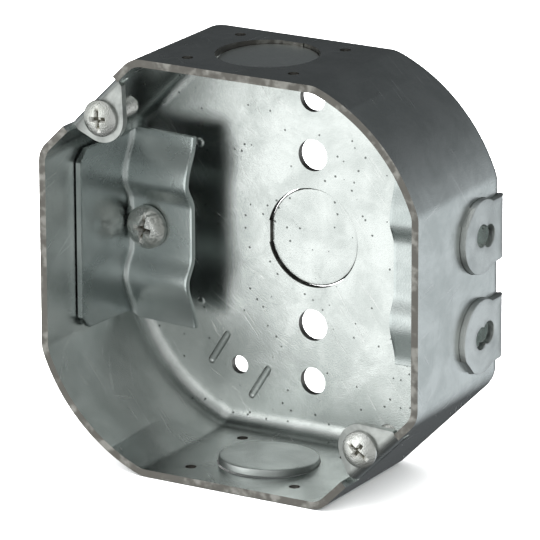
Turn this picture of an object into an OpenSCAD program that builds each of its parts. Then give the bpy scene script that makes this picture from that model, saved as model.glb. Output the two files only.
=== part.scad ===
// Octagonal sheet-steel electrical box with two inside cable clamps, knockouts and pry-outs.
// It stands on its bottom wall: X is width, Y is depth with the opening towards -Y, Z is up.
// The origin is the centre of the outer back face.

/* [Box shell] */
// Distance between opposite flat walls, outside
across_flats = 92; // [80:1:120]
// How much further out than the flat walls each corner wall with an ear stands
ear_wall_out = 2.6; // [1.5:0.1:4]
// How far the two plain corner walls bulge past the corner walls with ears
bulge = 3; // [1:0.5:5]
// Depth of the box from the back face to the rim
depth = 38.1; // [32:0.1:54]
// Thickness of the drawn steel sheet
sheet = 1.6; // [1.2:0.1:2]
// Outside plan radius of each wall-to-wall corner
corner_r = 6; // [5.5:0.5:8]
// Outside radius of the bend between the walls and the back
bend_r = 5.4; // [4:0.1:5.4]

/* [Back wall] */
// Spacing of the inner pair of fixture holes, one above the other
inner_holes_spacing = 38.1; // [32:0.1:44]
// Diameter of the inner pair of fixture holes
inner_hole_d = 7; // [4:0.1:8]
// Spacing of the outer pair of fixture holes
outer_holes_spacing = 63.5; // [57:0.1:68]
// Diameter of the outer pair of fixture holes
outer_hole_d = 6.1; // [4:0.1:7]
// Diameter of the tapped ground screw hole
ground_hole_d = 4.1; // [3:0.1:5]
// Sideways place of the ground hole from the centre
ground_x = -18.4; // [-22:0.1:-16]
// Height of the ground hole from the centre
ground_z = -31; // [-33:0.1:-28]
// Length of the two pressed grooves beside the ground hole
groove_len = 9.2; // [6:0.2:10]
// Width of the pressed grooves
groove_w = 1.7; // [1:0.1:2]
// Depth of the pressed grooves
groove_depth = 0.6; // [0.3:0.1:0.9]
// Distance between the two grooves, which lie either side of the ground hole
groove_apart = 12; // [11:0.1:13]
// Angle of the grooves from the horizontal, so that they lie along the corner wall
groove_turn = 58; // [45:1:65]
// Radius of the dimples in the back under the free corners of the clamps
dimple_r = 1.1; // [0.6:0.1:1.5]
// Height of the dimples
dimple_h = 0.5; // [0.3:0.1:0.8]

/* [Ears and cover screws] */
// How far the ear faces sit below the rim
ear_drop = 2; // [1:0.1:4]
// Width of each ear at its fold
ear_base_w = 15.4; // [13:0.1:18]
// Radius of the ear's rounded tip round the screw
ear_tip_r = 5.4; // [4.5:0.1:6]
// Distance from the outside of the ear's wall to the cover screw axis
ear_inset = 4.15; // [4:0.05:7]
// Sideways lean of the ear's base from the screw axis
ear_lean = 1.2; // [0:0.1:2]
// Outside radius of the fold between the wall and the ear
ear_fold_r = 2.4; // [2:0.1:3]
// Width of the relief notch at each end of the fold
notch_w = 1.2; // [0.8:0.1:2]
// Major diameter of the screw threads
thread_d = 4.17; // [3.5:0.01:4.6]
// Length of the cover screws under the head
cover_screw_len = 12.7; // [8:0.1:18]
// Diameter of the cover screw head
cover_head_d = 8; // [6.5:0.1:9]
// Height of the cover screw head
cover_head_h = 2; // [1.5:0.1:3]
// Length of each arm of the cross recess from the screw axis
recess_arm = 2.1; // [1.8:0.1:2.8]
// Width of the cross recess
recess_w = 1; // [0.8:0.1:1.2]
// Width of the screwdriver slot, which is shallower than the cross
slot_w = 0.9; // [0.6:0.05:0.95]

/* [Knockouts] */
// Diameter of the round knockouts
knockout_d = 22.2; // [16:0.1:24]
// How far each knockout disc is pushed out of its wall
knockout_proud = 0.8; // [0.4:0.1:1]
// Distance from the back face to the centre of the knockouts in the top and bottom walls
side_knockout_back = 20.4; // [18:0.1:21]
// Height of the back knockout above the centre
back_knockout_z = 0.6; // [-2:0.1:2]
// Width of the uncut tie that holds a knockout or pry-out
tie_w = 4.8; // [3:0.1:6]
// Diameter of the four small nail holes round each side knockout
nail_hole_d = 2.4; // [1.5:0.1:3]
// Sideways place of the nail holes
nail_x = 12.8; // [12.6:0.1:15]
// Distance from the back face to the nail holes near the back
nail_back = 10; // [8:0.1:11]
// Distance from the back face to the nail holes near the rim
nail_front = 31.6; // [31:0.1:34]

/* [Pry-outs] */
// Radius of the round end of each pry-out
pry_r = 8.2; // [6:0.1:9]
// Distance of each pry-out's centre above or below the box's centre
pry_z = 10.9; // [9.5:0.1:12]
// Distance from the back face to the centre of the pry-out's round end
pry_back = 12.4; // [10:0.1:14]
// Width of the straight back end of a pry-out, where it wraps into the bend
pry_tail_w = 14; // [10:0.1:15]
// Height of the pry-out's straight cut above the back face
pry_cut = 1.9; // [1.7:0.1:3]
// How far each pry-out stands out of its wall
pry_proud = 1.4; // [0.8:0.1:1.5]
// Length of the screwdriver slot in a pry-out
pry_slot_len = 7.8; // [6:0.1:9]
// Width of the screwdriver slot across its two round lobes
pry_slot_w = 4.8; // [3:0.1:5]
// Tilt of the screwdriver slot from the depth direction
slot_tilt = 12; // [0:1:20]

/* [Cable clamps] */
// Thickness of the clamp sheet
clamp_sheet = 1.2; // [0.9:0.1:1.5]
// Width of the clamp flange that stands along the wall
flange_w = 40; // [36:0.5:42]
// Height of the flange's front edge above the back face
flange_top = 26.5; // [22:0.1:30]
// Size of the cut corners of the flange
flange_cut = 2.6; // [1:0.1:4]
// Angle by which a clamp leans in from the wall, about its front edge, while its screw is loose
clamp_lean = 5; // [0:0.5:5]
// Width of the clamp saddle
saddle_w = 43; // [40:0.5:46]
// How far the saddle reaches in from the wall
saddle_reach = 19.5; // [15:0.1:21]
// Height of the clamp screw head's seat on the saddle above the back face
saddle_h = 10; // [9:0.1:12]
// Rise of the two arches over the cables
arch_rise = 2.2; // [1:0.1:4]
// How much higher the saddle's outer ends are than its seat at the screw
end_rise = -0.8; // [-2:0.1:2]
// Half width of the flat seat under the clamp screw head
seat_half = 5.2; // [5:0.1:6]
// Distance from the inside of the wall to the clamp screw axis
clamp_screw_in = 8.1; // [8:0.1:9.5]
// Diameter of the clamp screw head
clamp_head_d = 9.6; // [8:0.1:10]
// Height of the clamp screw head
clamp_head_h = 3; // [2:0.1:3.5]
// Distance from the box's centre to the crest of each arch
arch_mid = 11; // [10:0.5:13]
// Height of the tapped collar pressed up round each clamp screw hole
collar_h = 1.4; // [0.8:0.1:2]
// Thickness of the tapped collar round its hole
collar_wall = 1.1; // [0.8:0.1:1.6]

/* [Clearances] */
// Radial running clearance of a screw in its tapped hole
thread_gap = 0.05; // [0.03:0.01:0.1]
// Radial clearance of a clamp screw in its clamp
clamp_hole_gap = 0.3; // [0.2:0.05:0.6]
// Sheared gap round knockouts and pry-outs
shear_gap = 0.15; // [0.1:0.01:0.2]
// Gap between a clamp flange and the wall
flange_gap = 0.3; // [0.3:0.05:0.8]
// How far each clamp screw's tip stays inside the back face
tip_inset = 0.2; // [0.1:0.1:1]

/* [Hidden] */
$fn = 64;
notch_below_fold = 0.6;
slot_towards_back = 1;
slot_waist = 1;
tip_h = 1;
// How far a cut runs past the sheet that it goes through.
over = 1;

// Plan of the shell: the corners are arcs tangent to the walls beside them.
flat_out = across_flats / 2;
ear_out = flat_out + ear_wall_out;
core_x = flat_out - corner_r;
core_y = sqrt(2) * (ear_out - corner_r) - core_x;
// The bulging wall is one arc through the bulge and tangent to its two corner arcs.
bulge_out = ear_out + bulge;
bulge_core = bulge_out - corner_r;
bulge_c = (pow(bulge_core, 2) - pow(core_x, 2) - pow(core_y, 2))
  / (2 * (sqrt(2) * bulge_core - core_x - core_y));
bulge_r = bulge_out - sqrt(2) * bulge_c;
bulge_half = 45 - atan2(core_y - bulge_c, core_x - bulge_c);
corner_steps = 5;
bulge_steps = 14;
bend_steps = 5;

thread_r = thread_d / 2;
tapped_r = thread_r + thread_gap;
ear_h = depth - ear_drop;
notch_h = ear_h - ear_fold_r - notch_below_fold;
screw_out = ear_out - ear_inset;
knockout_r = knockout_d / 2;
tie_bite = 0.5;
clamp_screw_x = flat_out - sheet - clamp_screw_in;
clamp_screw_len = saddle_h - tip_inset;
saddle_end_x = flat_out - sheet - saddle_reach;
flange_x = flat_out - sheet - flange_gap;
// The clamp is drawn upright and then leans: its saddle is drawn this far below the flange's
// front edge, so that the screw head seats on it, and this long, so that it reaches in as far.
saddle_drop = (flange_top - saddle_h + (flange_x - clamp_screw_x + clamp_head_d / 2) * tan(clamp_lean))
  * cos(clamp_lean);
saddle_len = (flange_x - saddle_end_x - saddle_drop * sin(clamp_lean)) / cos(clamp_lean);
dimple_x = saddle_end_x + 3.2;
dimple_y = saddle_w / 2 - 3.5;
zinc = [0.80, 0.81, 0.80];
bright = [0.88, 0.88, 0.86];

// Turns the plan, drawn flat with the opening up, so that the opening faces -Y.
module upright() {
  rotate([90, 0, 0]) children();
}

// Cross-section of the bend and the wall. The wall's outside is at x = outer.
module wall_profile(outer) {
  translate([outer - bend_r, bend_r]) intersection() {
    difference() {
      circle(bend_r);
      circle(bend_r - sheet);
    }
    translate([0, -bend_r]) square(bend_r);
  }
  translate([outer - sheet, bend_r]) square([sheet, depth - bend_r]);
}

// A stretch of flat wall with its bend, its outside at the distance out, facing +X.
module straight_wall(out, len) {
  rotate([90, 0, 0]) linear_extrude(len, center = true) wall_profile(out);
}

// Stations round the plan: each is an arc's centre, its outside radius and a direction from it.
function arc_stations(c, r, from, to, steps) =
  [for (i = [0 : steps]) [c, r, from + (to - from) * i / steps]];
function turned(stations, turn) =
  [for (s = stations) [[
    s[0][0] * cos(turn) - s[0][1] * sin(turn), s[0][0] * sin(turn) + s[0][1] * cos(turn)
  ], s[1], s[2] + turn]];
bulge_stations = arc_stations(
  [bulge_c, bulge_c], bulge_r, 45 - bulge_half, 45 + bulge_half, bulge_steps);
half_plan = concat(
  arc_stations([core_x, core_y], corner_r, 0, 45 - bulge_half, 3),
  [for (i = [1 : bulge_steps - 1]) bulge_stations[i]],
  arc_stations([core_y, core_x], corner_r, 45 + bulge_half, 90, 3),
  arc_stations([-core_y, core_x], corner_r, 90, 135, corner_steps),
  arc_stations([-core_x, core_y], corner_r, 135, 180, corner_steps)
);
plan = concat(half_plan, turned(half_plan, 180));

// The sheet's section as [inset, height]: down the outside to the back, then up the inside.
bend_turns = [for (i = [0 : bend_steps]) 90 * i / bend_steps];
outside = concat([[0, depth]], [for (a = bend_turns) bend_r * [1 - cos(a), 1 - sin(a)]]);
inside = concat(
  [for (i = [bend_steps : -1 : 0])
    [bend_r, bend_r] - (bend_r - sheet) * [cos(bend_turns[i]), sin(bend_turns[i])]],
  [[sheet, depth]]
);

// One skin of sheet round the plan: walls, bends and back, open at the rim.
module plain_shell() {
  section = concat(outside, inside);
  n = len(plan);
  rings = len(section);
  points = [for (p = section, s = plan)
    [s[0][0] + (s[1] - p[0]) * cos(s[2]), s[0][1] + (s[1] - p[0]) * sin(s[2]), p[1]]];
  back_ring = len(outside) - 1;
  skin = [for (k = [0 : rings - 1], i = [0 : n - 1]) if (k != back_ring)
    let (up = k * n, next = ((k + 1) % rings) * n, j = (i + 1) % n)
    [up + i, up + j, next + j, next + i]];
  outer_back = [for (i = [0 : n - 1]) back_ring * n + i];
  inner_back = [for (i = [n - 1 : -1 : 0]) (back_ring + 1) * n + i];
  polyhedron(points, concat(skin, [outer_back, inner_back]));
}

// Where the line from the point p touches a circle of radius r at c, on the given side.
function tangent_point(p, c, r, side) =
  let (v = p - c, a = atan2(v[1], v[0]) + side * acos(r / norm(v)))
  c + r * [cos(a), sin(a)];

// The ear, its fold and its stub of wall. The wall's outside faces +X here.
module ear(lean) {
  fold_x = ear_out - ear_fold_r;
  base = [[fold_x, lean - ear_base_w / 2], [fold_x, lean + ear_base_w / 2]];
  tip = [screw_out, 0];
  difference() {
    union() {
      translate([0, 0, ear_h - sheet]) linear_extrude(sheet) {
        translate(tip) circle(ear_tip_r);
        polygon([
          base[0], base[1],
          tangent_point(base[1], tip, ear_tip_r, 1), tangent_point(base[0], tip, ear_tip_r, -1)
        ]);
      }
      translate([0, lean, 0]) rotate([90, 0, 0]) linear_extrude(ear_base_w, center = true) {
        translate([fold_x, ear_h - ear_fold_r]) intersection() {
          difference() {
            circle(ear_fold_r);
            circle(ear_fold_r - sheet);
          }
          square(ear_fold_r);
        }
        translate([ear_out - sheet, notch_h - over]) square([sheet, ear_h - ear_fold_r - notch_h + over]);
      }
    }
    translate([tip[0], tip[1], notch_h]) cylinder(h = depth, r = tapped_r);
  }
}

// A round cut through a wall, less the tie that a disc hangs on. The tie is on the -X side.
module knockout_cut() {
  difference() {
    translate([0, 0, -over]) cylinder(h = sheet + 2 * over, r = knockout_r);
    translate([-knockout_r - over, -tie_w / 2, -2 * over])
      cube([over + tie_bite, tie_w, sheet + 4 * over]);
  }
}

module knockout_disc() {
  intersection() {
    cylinder(h = sheet, r = knockout_r - shear_gap);
    translate([tie_bite - knockout_r, -knockout_r, -over])
      cube([knockout_d, knockout_d, sheet + 2 * over]);
  }
}

// Puts a knockout on the inside face of the bottom wall, with its tie towards the back.
module at_side_knockout() {
  translate([0, -flat_out, side_knockout_back]) rotate([-90, 0, 0]) rotate(90) children();
}

// Outline of a pry-out, seen from outside: x is the height above the back, y is upwards.
module pry_outline(gap) {
  difference() {
    union() {
      translate([pry_back, 0]) circle(pry_r - gap);
      translate([pry_cut + gap, gap - pry_tail_w / 2])
        square([pry_back - pry_cut - gap, pry_tail_w - 2 * gap]);
    }
    translate([-pry_r, -pry_r]) square([pry_r + pry_cut + gap, 2 * pry_r]);
  }
}

// The edge at the pry-out's outer front corner, where its tie is.
module beyond_pry_tie(width) {
  translate([pry_back, 0]) rotate(45) translate([pry_r - tie_bite, -width / 2]) square([pry_r, width]);
}

// Stands an outline on the right-hand wall, x up from the back and y up the wall.
module on_right_wall() {
  translate([flat_out - bend_r, pry_z, 0])
    multmatrix([[0, 0, 1, 0], [0, 1, 0, 0], [1, 0, 0, 0], [0, 0, 0, 1]])
    children();
}

module pry_cut_solid() {
  on_right_wall() linear_extrude(bend_r + over) difference() {
    pry_outline(0);
    beyond_pry_tie(tie_w);
  }
}

// The sheet inside a pry-out's outline, with its slot, where the press leaves it.
module pry_slug() {
  translate([pry_proud, 0, 0]) intersection() {
    straight_wall(flat_out, 2 * (pry_z + pry_r));
    on_right_wall() linear_extrude(bend_r + over) difference() {
      pry_outline(shear_gap);
      beyond_pry_tie(4 * tie_w);
      translate([pry_back - slot_towards_back, 0]) rotate(slot_tilt) pry_slot();
    }
  }
}

module pry_slot() {
  lobe = (pry_slot_len - pry_slot_w) / 2;
  for (side = [-1, 1]) translate([side * lobe, 0]) circle(pry_slot_w / 2);
  square([2 * lobe, pry_slot_w - slot_waist], center = true);
}

// Mirrors its children to the places of the four pry-outs.
module at_pry(side, level) {
  mirror([side < 0 ? 1 : 0, 0, 0]) mirror([0, level < 0 ? 1 : 0, 0]) children();
}

module groove() {
  half = (groove_len - groove_w) / 2;
  translate([0, 0, sheet - groove_depth]) {
    for (side = [-1, 1]) translate([side * half, 0, 0]) cylinder(h = sheet, r = groove_w / 2);
    translate([-half, -groove_w / 2, 0]) cube([2 * half, groove_w, sheet]);
  }
}

// A round hole through the back, or higher through a collar on it.
module back_hole(x, z, r, above = 0) {
  translate([x, z, -over]) cylinder(h = sheet + above + 2 * over, r = r);
}

module back_cuts() {
  for (side = [-1, 1]) {
    back_hole(0, side * inner_holes_spacing / 2, inner_hole_d / 2);
    back_hole(0, side * outer_holes_spacing / 2, outer_hole_d / 2);
    back_hole(side * clamp_screw_x, 0, tapped_r, collar_h);
    translate([ground_x, ground_z, 0]) rotate(groove_turn)
      translate([0, side * groove_apart / 2, 0]) groove();
  }
  back_hole(ground_x, ground_z, ground_hole_d / 2);
  translate([0, back_knockout_z, 0]) knockout_cut();
}

module side_cuts() {
  for (turn = [0, 180]) rotate(turn) {
    at_side_knockout() knockout_cut();
    for (side = [-1, 1], up = [nail_back, nail_front]) translate([side * nail_x, -flat_out, up])
      rotate([90, 0, 0]) cylinder(h = 2 * (sheet + over), d = nail_hole_d, center = true);
  }
  for (side = [-1, 1], level = [-1, 1]) at_pry(side, level) pry_cut_solid();
}

// The opening in an ear wall that leaves room for the ear and its relief notches.
module ear_window(lean) {
  window_w = ear_base_w + 2 * notch_w;
  translate([ear_out - 2 * sheet, lean - window_w / 2, notch_h]) cube([3 * sheet, window_w, depth]);
}

// The tapped collars for the clamp screws and the dimples under the clamps' free corners.
module back_bosses() {
  for (side = [-1, 1]) {
    translate([side * clamp_screw_x, 0, sheet / 2])
      cylinder(h = sheet / 2 + collar_h, r = tapped_r + collar_wall);
    for (up = [-1, 1]) translate([side * dimple_x, up * dimple_y, sheet / 2])
      cylinder(h = sheet / 2 + dimple_h, r = dimple_r);
  }
}

module box_shell() {
  color(zinc) upright() {
    difference() {
      union() {
        plain_shell();
        back_bosses();
      }
      back_cuts();
      side_cuts();
      for (turn = [135, 315]) rotate(turn) ear_window(turn == 135 ? -ear_lean : ear_lean);
    }
    for (turn = [135, 315]) rotate(turn) ear(turn == 135 ? -ear_lean : ear_lean);
  }
}

// A screw with its head's underside at z = 0 and its tip below. The head is a low dome with
// a cross recess, and a shallower slot right across it.
module screw(len, head_d, head_h) {
  rim_h = 0.35 * head_h;
  cross_floor = 0.45 * head_h;
  slot_floor = 0.72 * head_h;
  dome_h = head_h - rim_h;
  dome_r = (pow(head_d / 2, 2) + pow(dome_h, 2)) / (2 * dome_h);
  difference() {
    rotate_extrude() intersection() {
      translate([0, head_h - dome_r]) circle(dome_r, $fn = 96);
      square([head_d / 2, head_h]);
    }
    for (turn = [0, 90]) rotate(turn)
      translate([-recess_arm, -recess_w / 2, cross_floor]) cube([2 * recess_arm, recess_w, head_h]);
    translate([-head_d, -slot_w / 2, slot_floor]) cube([2 * head_d, slot_w, head_h]);
  }
  translate([0, 0, tip_h - len]) cylinder(h = len - tip_h, r = thread_r);
  translate([0, 0, -len]) cylinder(h = tip_h, r1 = 0.65 * thread_r, r2 = thread_r);
}

module cover_screw(turn, recess_turn) {
  color(bright) upright() rotate(turn) translate([screw_out, 0, ear_h])
    rotate(recess_turn) screw(cover_screw_len, cover_head_d, cover_head_h);
}
module cover_screw_upper() cover_screw(135, -40);
module cover_screw_lower() cover_screw(315, 10);

module clamp_screw(side) {
  color(bright) upright() translate([side * clamp_screw_x, 0, saddle_h])
    rotate(80) screw(clamp_screw_len, clamp_head_d, clamp_head_h);
}
module clamp_screw_left() clamp_screw(-1);
module clamp_screw_right() clamp_screw(1);

// Height of the upright saddle's top face at the distance y from its middle: a flat seat, then
// an arch over each cable, drawn with cosine flanks.
function saddle_top(y) =
  let (
    a = abs(y),
    up = (a - seat_half) / (arch_mid - seat_half),
    down = (a - arch_mid) / (saddle_w / 2 - arch_mid)
  )
  flange_top - saddle_drop + (a < seat_half ? 0
    : a < arch_mid ? arch_rise * (1 - cos(180 * up)) / 2
    : arch_rise + (end_rise - arch_rise) * (1 - cos(180 * down)) / 2);

// One clamp on the right-hand side: the wavy saddle and the flange, leaning from the wall.
module clamp() {
  steps = 48;
  ys = [for (i = [0 : steps]) saddle_w * (i / steps - 0.5)];
  top = [for (y = ys) [y, saddle_top(y)]];
  under = [for (i = [steps : -1 : 0]) [ys[i], saddle_top(ys[i]) - clamp_sheet]];
  half = flange_w / 2;
  foot = [for (i = [steps : -1 : 0]) if (abs(ys[i]) < half) [ys[i], saddle_top(ys[i]) - clamp_sheet]];
  difference() {
    translate([flange_x, 0, flange_top]) rotate([0, clamp_lean, 0])
      translate([-flange_x, 0, -flange_top]) {
      translate([flange_x - saddle_len, 0, 0]) rotate([90, 0, 90])
        linear_extrude(saddle_len) polygon(concat(top, under));
      translate([flange_x - clamp_sheet, 0, 0]) rotate([90, 0, 90])
        linear_extrude(clamp_sheet) polygon(concat(
          [
            [-half, saddle_top(half) - clamp_sheet], [-half, flange_top - flange_cut],
            [flange_cut - half, flange_top], [half - flange_cut, flange_top],
            [half, flange_top - flange_cut], [half, saddle_top(half) - clamp_sheet]
          ],
          foot
        ));
    }
    translate([clamp_screw_x, 0, 0]) cylinder(h = flange_top, r = thread_r + clamp_hole_gap);
  }
}
module cable_clamp_left() color(zinc) upright() mirror([1, 0, 0]) clamp();
module cable_clamp_right() color(zinc) upright() clamp();

// The side knockouts are pushed inwards, and the back one is pushed out of the back.
module side_knockout(turn) {
  color(zinc) upright() rotate(turn) at_side_knockout()
    translate([0, 0, knockout_proud]) knockout_disc();
}
module knockout_bottom() side_knockout(0);
module knockout_top() side_knockout(180);
module knockout_back() {
  color(zinc) upright() translate([0, back_knockout_z, -knockout_proud]) knockout_disc();
}

module pryout(side, level) {
  color(zinc) upright() at_pry(side, level) pry_slug();
}
module pryout_left_upper() pryout(-1, 1);
module pryout_left_lower() pryout(-1, -1);
module pryout_right_upper() pryout(1, 1);
module pryout_right_lower() pryout(1, -1);

box_shell();
cover_screw_upper();
cover_screw_lower();
cable_clamp_left();
cable_clamp_right();
clamp_screw_left();
clamp_screw_right();
knockout_top();
knockout_bottom();
knockout_back();
pryout_left_upper();
pryout_left_lower();
pryout_right_upper();
pryout_right_lower();
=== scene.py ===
import math
import bmesh
import bpy
import numpy as np
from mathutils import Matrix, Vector


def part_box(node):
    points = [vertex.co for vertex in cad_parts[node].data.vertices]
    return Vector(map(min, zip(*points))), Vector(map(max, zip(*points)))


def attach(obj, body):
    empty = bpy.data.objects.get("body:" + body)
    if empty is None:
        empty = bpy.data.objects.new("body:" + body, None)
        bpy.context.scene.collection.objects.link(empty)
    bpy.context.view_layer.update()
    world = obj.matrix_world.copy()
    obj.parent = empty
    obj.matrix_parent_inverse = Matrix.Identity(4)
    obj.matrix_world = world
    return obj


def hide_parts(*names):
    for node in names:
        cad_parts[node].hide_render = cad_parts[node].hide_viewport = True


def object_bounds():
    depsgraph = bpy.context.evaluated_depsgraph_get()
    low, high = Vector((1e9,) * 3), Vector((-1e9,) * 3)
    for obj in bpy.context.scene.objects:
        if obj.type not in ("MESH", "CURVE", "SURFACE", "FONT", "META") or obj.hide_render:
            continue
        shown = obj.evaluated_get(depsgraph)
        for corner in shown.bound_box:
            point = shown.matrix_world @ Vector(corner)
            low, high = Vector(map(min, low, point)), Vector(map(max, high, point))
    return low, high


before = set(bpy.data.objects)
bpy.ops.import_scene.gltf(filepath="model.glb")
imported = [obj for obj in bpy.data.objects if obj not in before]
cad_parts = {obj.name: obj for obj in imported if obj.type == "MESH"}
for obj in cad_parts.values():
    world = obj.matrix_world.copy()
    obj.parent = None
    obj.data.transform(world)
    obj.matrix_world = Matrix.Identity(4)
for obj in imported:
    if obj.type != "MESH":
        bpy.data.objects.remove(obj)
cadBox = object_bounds()
mm = 0.001
print("frame loaded:", len(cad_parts), "nodes")

cameraSettings = dict(
    azimuth=30.5, elevation=17.3, roll=-0.2, distance=1.151, lens=362.0, sensor=36.0,
    clipStart=0.05, clipEnd=20.0, target=(-0.0003, -0.0192, -0.00185),
)
studio = dict(
    floorSize=3.0, floorDrop=0.0002, floorTone=(0.93, 0.935, 0.935), floorCloudTone=(0.9, 0.9, 0.9),
    floorCloudSize=9.0, floorRough=0.9, floorShine=0.1, worldBase=0.075,
    lobes=[   # direction the light comes from, strength, sharpness
        ((0.0, -1.0, 0.0), 0.09, 1.0),
        ((-0.52, -0.78, -0.34), 1.10, 7.0),
        ((0.54, 0.76, -0.36), 0.80, 7.0),
        ((0.30, -0.82, 0.48), 0.34, 8.0),
        ((0.48, -0.82, -0.30), 0.36, 8.0),
        ((-0.48, -0.82, 0.30), 1.05, 8.0),
        ((-0.15, -0.35, 0.92), 1.3, 60.0),
        ((0.95, -0.10, -0.20), 0.60, 6.0),
        ((-0.95, -0.10, -0.20), 0.60, 6.0),
        ((0.10, 0.10, 0.97), 0.45, 6.0),
    ],
    frontTint=(0.975, 1.0, 0.985), backTint=(0.93, 0.985, 1.02), tintFrom=-0.3, tintTo=0.5,
    lamps=[   # name, place, size, watts
        ("keyLamp", (-0.75, -0.45, 1.15), 1.8, 75.0),
        ("fillLamp", (0.65, -0.25, 1.30), 1.8, 85.0),
    ],
)


def addCamera(s):
    a, e = math.radians(s["azimuth"]), math.radians(s["elevation"])
    back = Vector((math.sin(a) * math.cos(e), -math.cos(a) * math.cos(e), math.sin(e)))
    data = bpy.data.cameras.new("camera")
    data.lens = s["lens"]
    data.sensor_width = s["sensor"]
    data.clip_start = s["clipStart"]
    data.clip_end = s["clipEnd"]
    camera = bpy.data.objects.new("camera", data)
    bpy.context.scene.collection.objects.link(camera)
    camera.location = Vector(s["target"]) + back * s["distance"]
    camera.rotation_euler = (-back).to_track_quat("-Z", "Y").to_euler()
    camera.rotation_euler.rotate_axis("Z", math.radians(s["roll"]))
    bpy.context.scene.camera = camera


def addLamps(s):
    for name, place, size, watts in s["lamps"]:
        data = bpy.data.lights.new(name, "AREA")
        data.size = size
        data.energy = watts
        lamp = bpy.data.objects.new(name, data)
        bpy.context.scene.collection.objects.link(lamp)
        lamp.location = place
        lamp.visible_glossy = False
        lamp.rotation_euler = (-Vector(place)).to_track_quat("-Z", "Y").to_euler()


# A node of the given type in a tree, with its inputs set or linked by name or number.
def put(tree, kind, inputs=None, **settings):
    made = tree.nodes.new(kind)
    for key, value in settings.items():
        setattr(made, key, value)
    for key, value in (inputs or {}).items():
        socket = made.inputs[key]
        if isinstance(value, bpy.types.NodeSocket):
            tree.links.new(value, socket)
        else:
            socket.default_value = value
    return made


def doMath(tree, operation, a, b=0.0, clamp=False):
    return put(tree, "ShaderNodeMath", {0: a, 1: b}, operation=operation, use_clamp=clamp).outputs[0]


def times(tree, a, b):
    return doMath(tree, "MULTIPLY", a, b)


def plus(tree, a, b, clamp=False):
    return doMath(tree, "ADD", a, b, clamp)


def ramp(tree, value, low, high):
    made = put(tree, "ShaderNodeMapRange", {"Value": value, "From Min": low, "From Max": high,
                                            "To Min": 0.0, "To Max": 1.0})
    made.interpolation_type = "SMOOTHSTEP"
    return made.outputs[0]


# Mixes two colours, each three numbers or a socket.
def blend(tree, factor, first, second):
    first, second = (c if isinstance(c, bpy.types.NodeSocket) else (*c, 1) for c in (first, second))
    return put(tree, "ShaderNodeMix", {"Factor": factor, 6: first, 7: second}, data_type="RGBA").outputs[2]


def noise(tree, place, scale, detail, more=None):
    inputs = {"Vector": place, "Scale": scale, "Detail": detail, **(more or {})}
    return put(tree, "ShaderNodeTexNoise", inputs).outputs["Fac"]


def stretched(tree, place, scale):
    return put(tree, "ShaderNodeVectorMath", {0: place, 1: scale}, operation="MULTIPLY").outputs[0]


def objectPlace(tree):
    return put(tree, "ShaderNodeTexCoord").outputs["Object"]


# The room: a dim base and soft lobes of light, each the cosine from its direction to a power.
def addWorld(s):
    world = bpy.data.worlds.new("studio")
    bpy.context.scene.world = world
    world.use_nodes = True
    tree = world.node_tree
    tree.nodes.clear()
    direction = put(tree, "ShaderNodeTexCoord").outputs["Generated"]
    total = s["worldBase"]
    for place, strength, sharpness in s["lobes"]:
        both = {0: direction, 1: Vector(place).normalized()}
        dot = put(tree, "ShaderNodeVectorMath", both, operation="DOT_PRODUCT").outputs["Value"]
        lobe = doMath(tree, "POWER", doMath(tree, "MAXIMUM", dot, 0.0), sharpness)
        total = plus(tree, total, times(tree, lobe, strength))
    depth = put(tree, "ShaderNodeSeparateXYZ", {0: direction}).outputs["Y"]
    tint = blend(tree, ramp(tree, depth, s["tintFrom"], s["tintTo"]), s["frontTint"], s["backTint"])
    room = put(tree, "ShaderNodeBackground", {"Color": tint, "Strength": total}).outputs[0]
    plain = put(tree, "ShaderNodeBackground", {"Color": (1, 1, 1, 1), "Strength": 1.0}).outputs[0]
    seen = put(tree, "ShaderNodeLightPath").outputs["Is Camera Ray"]
    mixed = put(tree, "ShaderNodeMixShader", {0: seen, 1: room, 2: plain}).outputs[0]
    put(tree, "ShaderNodeOutputWorld", {"Surface": mixed})


def addFloor(s):
    half = s["floorSize"] / 2
    level = cadBox[0].z - s["floorDrop"]
    points = [(-half, -half, level), (half, -half, level), (half, half, level), (-half, half, level)]
    mesh = bpy.data.meshes.new("studioFloor")
    mesh.from_pydata(points, [], [(0, 1, 2, 3)])
    floor = bpy.data.objects.new("studioFloor", mesh)
    bpy.context.scene.collection.objects.link(floor)
    paint = bpy.data.materials.new("floorPaint")
    paint.use_nodes = True
    tree = paint.node_tree
    tree.nodes.clear()
    cloud = noise(tree, objectPlace(tree), s["floorCloudSize"], 3.0)
    tone = blend(tree, cloud, s["floorTone"], s["floorCloudTone"])
    surface = put(tree, "ShaderNodeBsdfPrincipled", {
        "Base Color": tone, "Roughness": s["floorRough"], "Specular IOR Level": s["floorShine"],
    }).outputs[0]
    put(tree, "ShaderNodeOutputMaterial", {"Surface": surface})
    mesh.materials.append(paint)
    floor.visible_glossy = False


bpy.context.scene.view_settings.view_transform = "Standard"
addCamera(cameraSettings)
addLamps(studio)
addWorld(studio)
addFloor(studio)
print("studio ready")

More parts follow.
